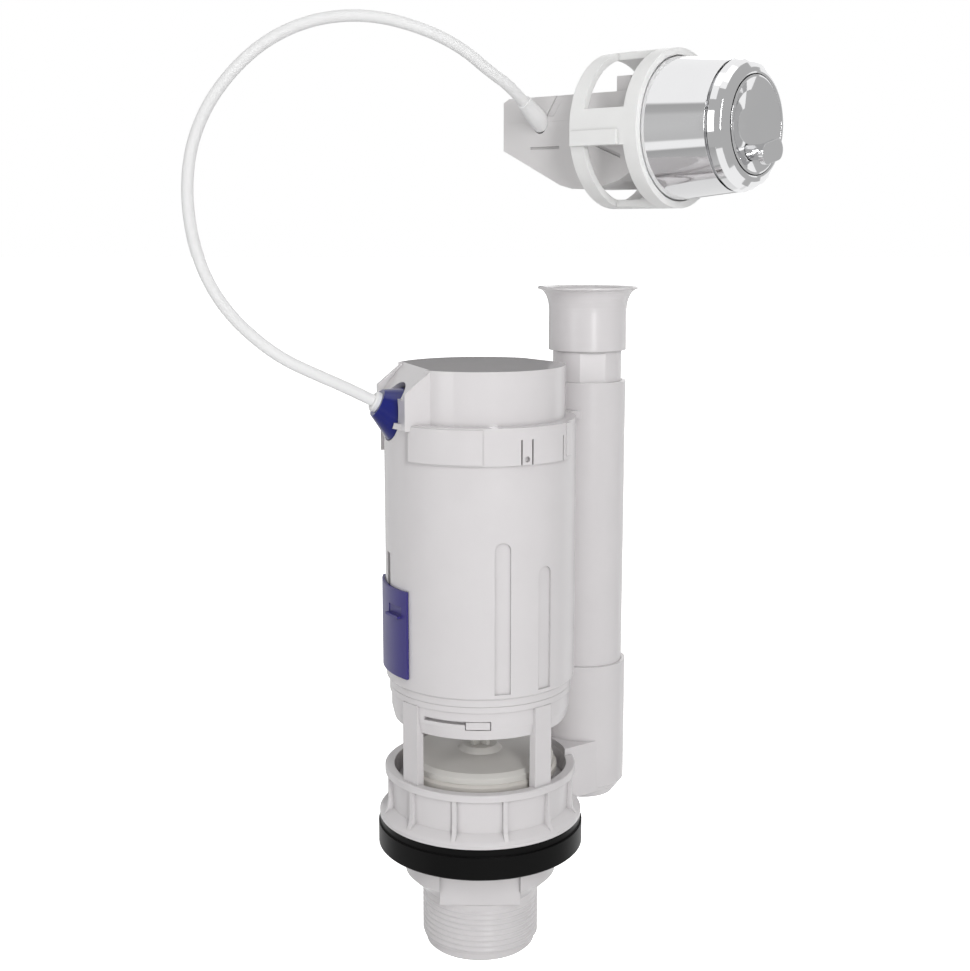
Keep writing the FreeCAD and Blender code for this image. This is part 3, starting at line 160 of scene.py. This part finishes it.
deselect()
tooth = [(THREAD_ROOT, -TOOTH_FOOT), (THREAD_CREST, -TOOTH_TIP), (THREAD_CREST, TOOTH_TIP),
         (THREAD_ROOT, TOOTH_FOOT)]
bpy.ops.mesh.primitive_circle_add(vertices=len(tooth), radius=THREAD_CREST,
                                  fill_type="NOTHING")
thread = bpy.context.object
thread.name = "tail_thread"
for vertex, (radius, rise) in zip(thread.data.vertices, tooth):
    vertex.co = (radius, 0, THREAD_TOP + rise * THREAD_PITCH)
screw = thread.modifiers.new("helix", "SCREW")
screw.axis = "Z"
screw.screw_offset = -THREAD_PITCH
screw.iterations = THREAD_TURNS
screw.steps = THREAD_STEPS
screw.render_steps = THREAD_STEPS
screw.use_smooth_shade = False
bpy.ops.object.modifier_apply(modifier=screw.name)
bpy.ops.object.mode_set(mode="EDIT")
bpy.ops.mesh.select_all(action="SELECT")
bpy.ops.mesh.fill_holes(sides=len(tooth))
bpy.ops.mesh.normals_make_consistent(inside=False)
bpy.ops.object.mode_set(mode="OBJECT")
thread.data.materials.append(grey_abs)
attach(thread, "valve")

# Seat washer under the flange, moulded in black rubber: dull, with a deeper grain than the
# plastics and little sheen
RUBBER_SHEEN = 0.14
black_rubber = moulded("black_rubber", "#0A0A0A", "#070707", 0.38, bump=0.15, IOR=1.5,
                       **{"Specular IOR Level": RUBBER_SHEEN})
paint(black_rubber, "seat_washer")

# Spindle with its plate, in white polypropylene like the other inner pieces, and the pale
# silicone washer that lies on the seat
white_pp = moulded("white_polypropylene", "#D8D6D2", "#CFCDC8", 0.4, IOR=1.49)
paint(white_pp, "valve_spindle", "disc_retainer", "half_float", "full_float", "cable_pulley",
      "full_lever", "half_lever")
pale_silicone = moulded("pale_silicone", "#CFCBC6", "#C6C2BC", 0.38, IOR=1.41)
paint(pale_silicone, "disc_washer")

# Head cap on the tower, the glossiest of the grey mouldings: ABS as on the base, with a
# polished skin that shows narrower highlights
glossy_abs = moulded("glossy_grey_abs", "#DBD8D9", "#D7D4D5", 0.12, bump=0.015, IOR=1.53)
paint(glossy_abs, "head_cap")

# Gland in the head and slider on the tower, one blue acetal in two copies: the gland a strong
# glossy blue, the slider duller and with a paler colour nearer to violet, which is painted sheen
# of light on the same blue
blue_acetal = moulded("blue_acetal", "#0C1874", "#0B156A", 0.16, bump=0.02, IOR=1.48)
paint(blue_acetal, "cable_gland")
# Painted sheen: the slider's colour is paler and greyer than the gland's, standing in for light
# that hazes its surface
blue_acetal_painted_sheen = moulded("blue_acetal_painted_sheen", "#38307E", "#322B74", 0.36, bump=0.03, IOR=1.48)
paint(blue_acetal_painted_sheen, "flush_adjuster")

# Cable: a stiff white sheath between two white ferrules. Its middle line repeats the solids'
# route, in millimetres, from the gland up over the arch to the box behind the button.
white_sheath = moulded("white_sheath_pvc", "#EAEAEA", "#E7E7E7", 0.6, bump=0.0,
                       soften=0.01 * MM, IOR=1.4)
paint(white_sheath, "tower_ferrule", "button_ferrule")
CABLE_RADIUS = 2.3 * MM
CURVE_STEPS = 16
ROUND_STEPS = 12
ROUTE = [
    (-41.16, -14.17, 183.93), (-51.2, -17.6, 189.4), (-61.7, -20.9, 194.4),
    (-73.8, -21.5, 200.1), (-84.4, -21.0, 207.7), (-94.1, -19.0, 216.8), (-102.0, -16.0, 227.7),
    (-107.4, -12.5, 240.0), (-110.5, -8.5, 253.0), (-111.5, -5.0, 266.1), (-110.1, -1.5, 279.3),
    (-106.1, 2.0, 291.6), (-99.6, 5.0, 302.6), (-91.2, 8.0, 312.5), (-80.9, 11.0, 321.0),
    (-67.8, 13.5, 327.3), (-53.7, 15.5, 330.2), (-39.5, 17.2, 329.9), (-26.4, 18.8, 326.9),
    (-14.8, 20.8, 322.7), (-5.1, 23.2, 317.3), (3.6, 27.0, 310.4), (12.2, 32.0, 305.0),
    (17.65, 38.33, 299.5),
]
line = bpy.data.curves.new("cable", "CURVE")
line.dimensions = "3D"
spline = line.splines.new("NURBS")
spline.points.add(len(ROUTE) - 1)
for point, place in zip(spline.points, ROUTE):
    point.co = [c * MM for c in place] + [1]
spline.order_u = 3
spline.use_endpoint_u = True
spline.resolution_u = CURVE_STEPS
line.bevel_depth = CABLE_RADIUS
line.bevel_resolution = ROUND_STEPS
line.use_fill_caps = True
line.materials.append(white_sheath)
cable = bpy.data.objects.new("cable", line)
bpy.context.scene.collection.objects.link(cable)
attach(cable, "valve")
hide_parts("cable_sheath")

# Box behind the button: two matt shells in the same grey ABS. The axles and the return springs
# are drawn steel.
matt_abs = moulded("matt_grey_abs", "#DCDADA", "#D7D5D5", 0.42, bump=0.08, IOR=1.53)
paint(matt_abs, "actuator_cover", "actuator_base")
drawn_steel = moulded("drawn_steel", "#B8B8B6", "#AEAEAC", 0.28, Metallic=1.0)
paint(drawn_steel, "lever_axle", "pulley_pin", "full_spring", "half_spring")

# Cage round the sleeve and the guide in it: milky polyethylene, which lets some light in and
# spreads it about two millimetres deep
SCATTER_DEPTH = 2 * MM
milky_pe = moulded("milky_polyethylene", "#F1F1F0", "#ECECEB", 0.4, IOR=1.51,
                   **{"Subsurface Weight": 0.4, "Subsurface Radius": [SCATTER_DEPTH] * 3,
                      "Subsurface Scale": 1.0})
paint(milky_pe, "fixing_cage", "button_guide")

# Push button: sleeve, bezel, dish and pad are chrome plated, almost a mirror, with a trace of
# waviness
chrome = moulded("chrome_plate", "#EDEDEE", "#E9E9EA", 0.06, bump=0.005, Metallic=1.0)
paint(chrome, "chrome_sleeve", "chrome_bezel", "full_button", "half_button")

# Studio: a white floor under the tail, and a white surround that lights the object less than
# it shows behind it and in its reflections
FLOOR_SIZE = 30
AMBIENT = 0.38
deselect()
bpy.ops.mesh.primitive_plane_add(size=FLOOR_SIZE, location=(0, 0, cad_low.z))
floor = bpy.context.object
floor.name = "floor"
floor.visible_glossy = False
pale = new_material("white_paper")
rays = add_node(pale, "ShaderNodeLightPath").outputs["Is Camera Ray"]
paper = add_node(pale, "ShaderNodeBsdfPrincipled", {
    "Base Color": linear("#F4F4F4"), "Roughness": 0.9, "Emission Color": linear("#FFFFFF"),
    "Emission Strength": rays})
add_node(pale, "ShaderNodeOutputMaterial", {"Surface": paper.outputs["BSDF"]})
floor.data.materials.append(pale)

world = bpy.data.worlds.new("studio")
world.use_nodes = True
world.node_tree.nodes.clear()
bpy.context.scene.world = world
path = add_node(world, "ShaderNodeLightPath")
seen = add_node(world, "ShaderNodeMath", {0: path.outputs["Is Camera Ray"],
                1: path.outputs["Is Glossy Ray"]}, operation="ADD")
seen = add_node(world, "ShaderNodeMath", {0: seen.outputs[0],
                1: path.outputs["Is Transmission Ray"]}, operation="ADD", use_clamp=True)
level = add_node(world, "ShaderNodeMapRange", {"Value": seen.outputs[0],
                 "To Min": AMBIENT, "To Max": 1.0})
light = add_node(world, "ShaderNodeBackground", {"Color": linear("#FFFFFF"),
                 "Strength": level.outputs["Result"]})
add_node(world, "ShaderNodeOutputWorld", {"Surface": light.outputs["Background"]})

# Screen round the button's axis, far away and only for reflections: it makes the bands of the
# chrome sleeve. Each band is a share of the turn and a grey.
BUTTON_PLACE = (99.7 * MM, 0.9 * MM, 287.6 * MM)
BUTTON_BEARING = math.radians(-40.5)
SCREEN_RADIUS = 4
SCREEN_LENGTH = 8
SCREEN_GAP = 0.3
SCREEN_STEPS = 64
BANDS = [
    (0.0, 0.60), (0.058, 0.56), (0.064, 1.0), (0.095, 1.0), (0.101, 0.40), (0.190, 0.58),
    (0.197, 0.30), (0.205, 0.64), (0.262, 0.62), (0.268, 0.36), (0.278, 0.80), (0.440, 0.86),
    (0.468, 0.30), (0.500, 0.12), (0.540, 0.16), (0.565, 1.0), (0.895, 1.0), (0.905, 0.42),
    (0.935, 0.46), (0.950, 0.58), (1.0, 0.60),
]
along = Vector((math.cos(BUTTON_BEARING), math.sin(BUTTON_BEARING), 0))
across = Vector((-along.y, along.x, 0))
upward = Vector((0, 0, 1))
deselect()
bpy.ops.mesh.primitive_cylinder_add(vertices=SCREEN_STEPS, radius=SCREEN_RADIUS,
                                    depth=SCREEN_LENGTH, end_fill_type="NOTHING")
screen = bpy.context.object
screen.name = "screen"
screen.rotation_euler = Matrix((across, upward, along)).transposed().to_euler()
screen.location = Vector(BUTTON_PLACE) - along * (SCREEN_LENGTH / 2 + SCREEN_GAP)
banded = new_material("banded_screen")
spot = add_node(banded, "ShaderNodeSeparateXYZ",
                {0: add_node(banded, "ShaderNodeTexCoord").outputs["Object"]})
angle = add_node(banded, "ShaderNodeMath", {0: spot.outputs["Y"], 1: spot.outputs["X"]},
                 operation="ARCTAN2")
share = add_node(banded, "ShaderNodeMapRange", {"Value": angle.outputs[0],
                 "From Min": -math.pi, "From Max": math.pi})
ramp = add_node(banded, "ShaderNodeValToRGB", {0: share.outputs["Result"]})
while len(ramp.color_ramp.elements) < len(BANDS):
    ramp.color_ramp.elements.new(1.0)
for element, (position, grey) in zip(ramp.color_ramp.elements, BANDS):
    element.position = position
    element.color = (grey, grey, grey, 1)
glow = add_node(banded, "ShaderNodeEmission", {"Color": ramp.outputs["Color"]})
add_node(banded, "ShaderNodeOutputMaterial", {"Surface": glow.outputs["Emission"]})
screen.data.materials.append(banded)

# Two screens on a ring round the whole stage, only for reflections: grey in front and to the
# right, for the even grey of bezel and dish, and white to the right and behind, for the bright
# far side of the bezel. Bearings are in degrees from +X.
RING_RADIUS = 3
RING_HEIGHT = 10
RING_MIDDLE = 3
RING_STEPS = 180
GREY_ARC = (-150, 31)
WHITE_ARC = (29, 77)


def ring_screen(name, start, end, colour):
    """A glowing part of a ring between two bearings, in degrees."""
    deselect()
    bpy.ops.mesh.primitive_cylinder_add(vertices=RING_STEPS, radius=RING_RADIUS, depth=RING_HEIGHT,
                                        location=(0, 0, RING_MIDDLE), end_fill_type="NOTHING")
    part = bpy.context.object
    part.name = name
    bpy.ops.object.mode_set(mode="EDIT")
    bpy.ops.mesh.select_all(action="DESELECT")
    bpy.ops.object.mode_set(mode="OBJECT")
    for vertex in part.data.vertices:
        bearing = math.degrees(math.atan2(vertex.co.y, vertex.co.x))
        vertex.select = not start < bearing < end
    bpy.ops.object.mode_set(mode="EDIT")
    bpy.ops.mesh.delete(type="VERT")
    bpy.ops.object.mode_set(mode="OBJECT")
    paper = new_material(name + "_paper")
    haze = add_node(paper, "ShaderNodeEmission", {"Color": linear(colour)})
    add_node(paper, "ShaderNodeOutputMaterial", {"Surface": haze.outputs["Emission"]})
    part.data.materials.append(paper)
    return part


grey_screen = ring_screen("grey_screen", *GREY_ARC, "#B8B8B8")
white_screen = ring_screen("white_screen", *WHITE_ARC, "#FFFFFF")
for thing in (screen, grey_screen, white_screen):
    thing.visible_camera = False
    thing.visible_diffuse = False
    thing.visible_transmission = False
    thing.visible_shadow = False


# Four soft boxes that point at the middle of the object: the key in front to the right, a fill
# at the left, a weak one above and one behind


def lamp(name, place, width, height, power):
    """A soft box with its place and sides in metres and its power in watts."""
    data = bpy.data.lights.new(name, "AREA")
    data.shape = "RECTANGLE"
    data.size = width
    data.size_y = height
    data.energy = power
    thing = bpy.data.objects.new(name, data)
    bpy.context.scene.collection.objects.link(thing)
    thing.location = place
    aim = MIDDLE - Vector(place)
    thing.rotation_euler = aim.to_track_quat("-Z", "Y").to_euler()


MIDDLE = Vector((0, 0, 0.15))
lamp("key_lamp", (0.4, -1.3, 0.6), 0.25, 1.0, 9.8)
lamp("left_lamp", (-0.9, -0.9, 0.4), 0.5, 0.8, 2.0)
lamp("top_lamp", (0.25, -0.2, 1.6), 1.2, 1.2, 2.5)
lamp("back_lamp", (0.5, 1.6, 0.7), 0.8, 1.2, 3.5)

# Camera where the photographer stood, tilted down by ten degrees. Its focal length is given in
# the photograph's pixels.
CAMERA_PLACE = (1.966 * MM, -568 * MM, 248.4 * MM)
CAMERA_NEAR = 0.01
CAMERA_FAR = 100
IMAGE_HEIGHT = 971
SENSOR = 36
FOCAL_PIXELS = 1450
TILT = 10
view = bpy.data.cameras.new("camera")
view.sensor_width = SENSOR
view.lens = FOCAL_PIXELS / IMAGE_HEIGHT * SENSOR
view.clip_start = CAMERA_NEAR
view.clip_end = CAMERA_FAR
camera = bpy.data.objects.new("camera", view)
bpy.context.scene.collection.objects.link(camera)
camera.location = CAMERA_PLACE
camera.rotation_euler = (math.radians(90 - TILT), 0, 0)
bpy.context.scene.camera = camera
bpy.context.scene.view_settings.view_transform = "Standard"
